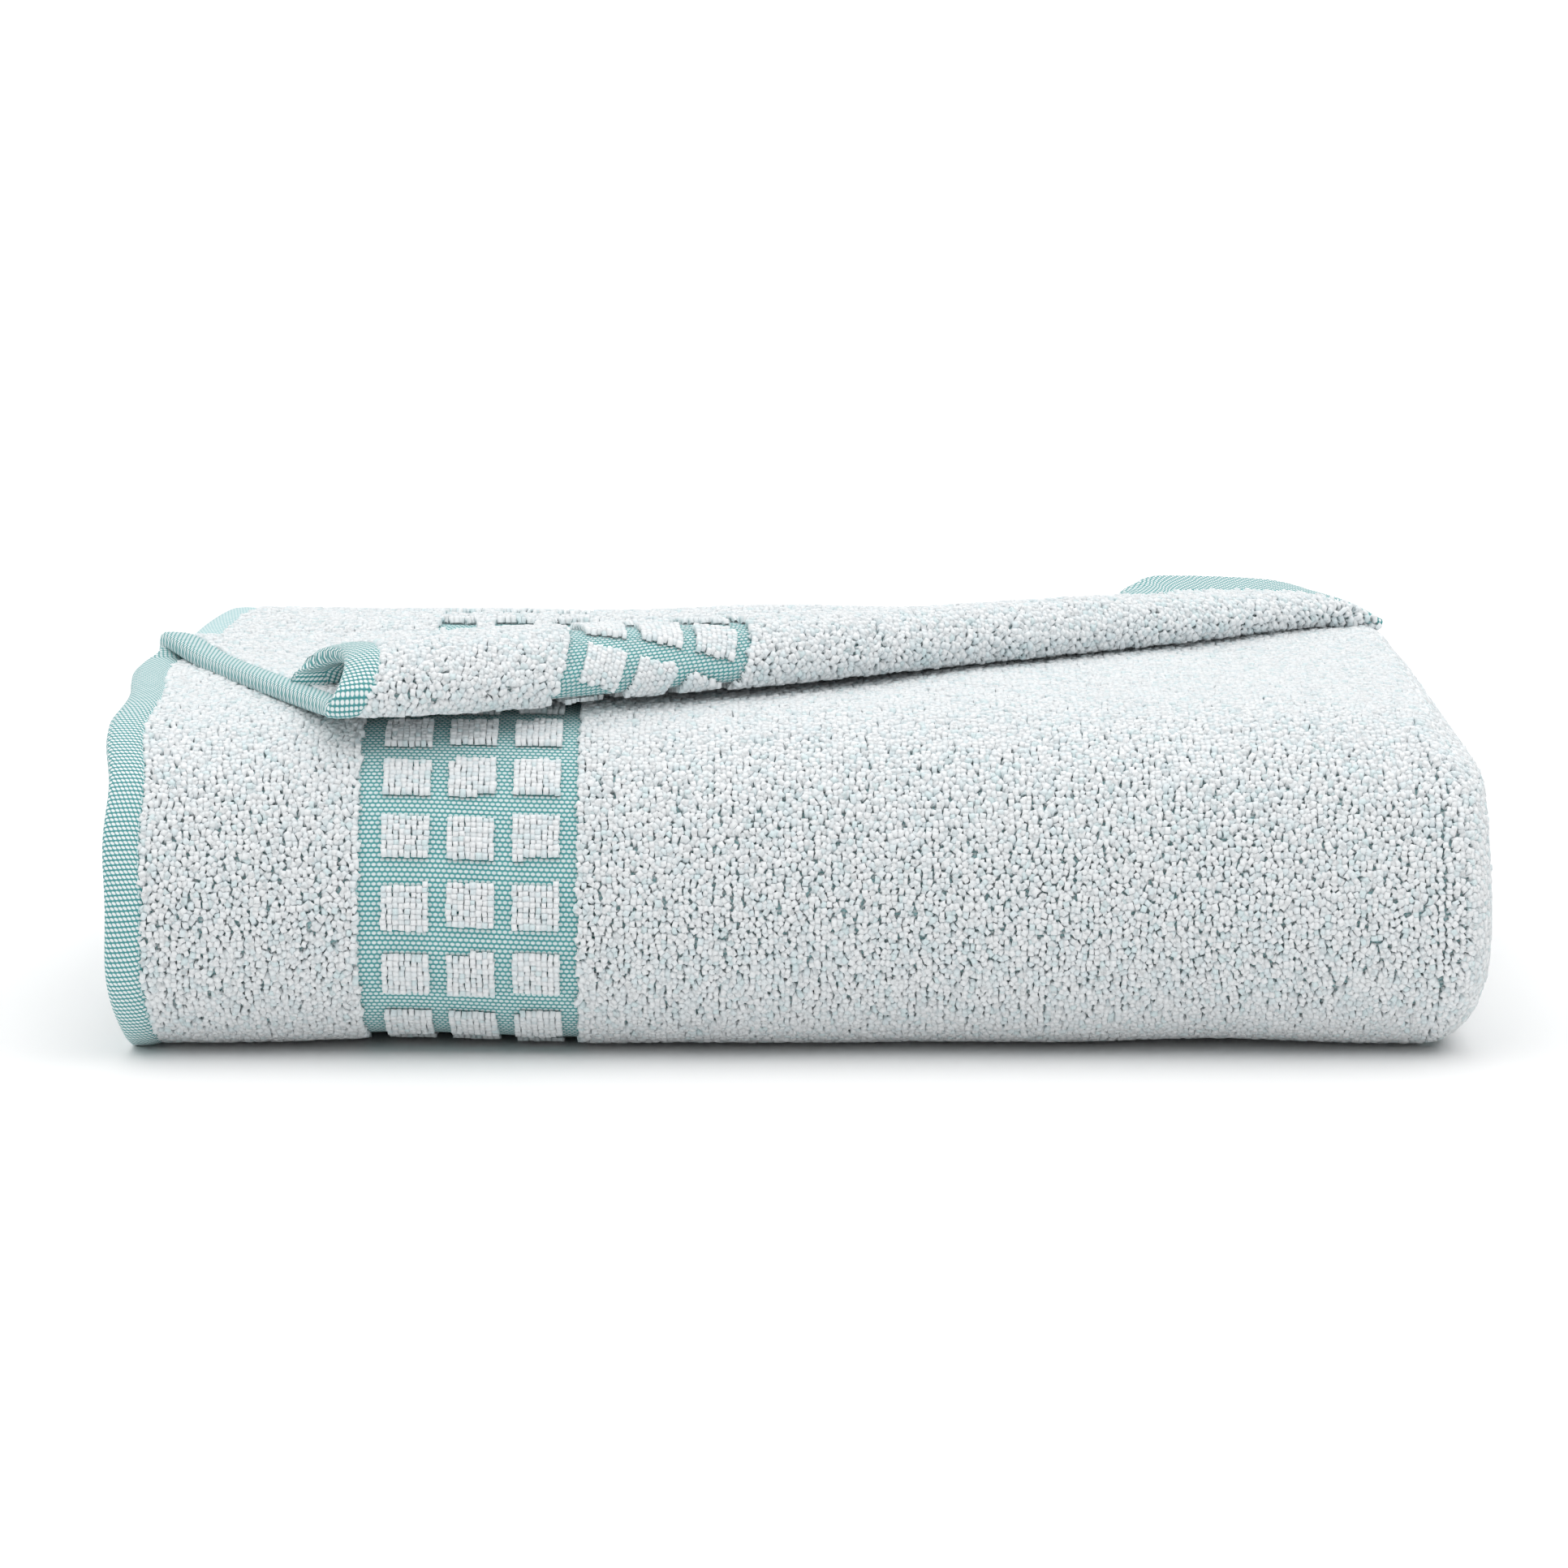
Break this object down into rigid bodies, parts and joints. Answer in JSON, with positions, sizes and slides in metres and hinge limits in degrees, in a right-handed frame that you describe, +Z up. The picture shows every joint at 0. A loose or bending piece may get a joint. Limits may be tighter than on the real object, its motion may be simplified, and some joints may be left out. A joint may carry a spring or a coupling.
{
  "type": "folded bath towel",
  "caption": "Folded terry bath towel with woven check borders and flat hems, its top layer turned back in a soft roll.",
  "frame": {"origin": "middle of the underside, on the surface that the folded towel lies on", "axes": "+X along the folded width to the right, +Y from the rounded front fold to the back, +Z up"},
  "size_m": [0.35, 0.23, 0.106],
  "materials": {
    "terry": "looped cotton pile, cool white over a teal ground",
    "border": "flat teal weave with raised white ribbed squares",
    "hem": "flat teal and white cotton weave",
    "thread": "pale teal sewing thread"
  },
  "bodies": {
    "root": {"flap_border": "border", "flap_end_hem": "hem", "flap_end_hem_stitches": "thread", "flap_end_strip": "terry", "flap_field": "terry", "flap_side_hem": "hem", "flap_side_hem_stitches": "thread", "flap_under_field": "terry", "flap_under_hem": "hem", "fourth_ply": "terry", "left_turn": "terry", "left_turn_tucked": "terry", "outer_hem_stitches": "thread", "outer_ply_border": "border", "outer_ply_end_hem": "hem", "outer_ply_end_strip": "terry", "outer_ply_field": "terry", "right_inner_turn": "terry", "right_outer_turn": "terry", "second_hem_stitches": "thread", "second_ply_border": "border", "second_ply_end_hem": "hem", "second_ply_end_strip": "terry", "second_ply_field": "terry", "side_hem_tucked_2": "hem", "side_hem_tucked_3": "hem", "side_hem_tucked_4": "hem", "side_hem_under_1": "hem", "side_hem_under_2": "hem", "side_hem_under_3": "hem", "side_hem_under_4": "hem", "third_ply": "terry"}
  },
  "joints": []
}
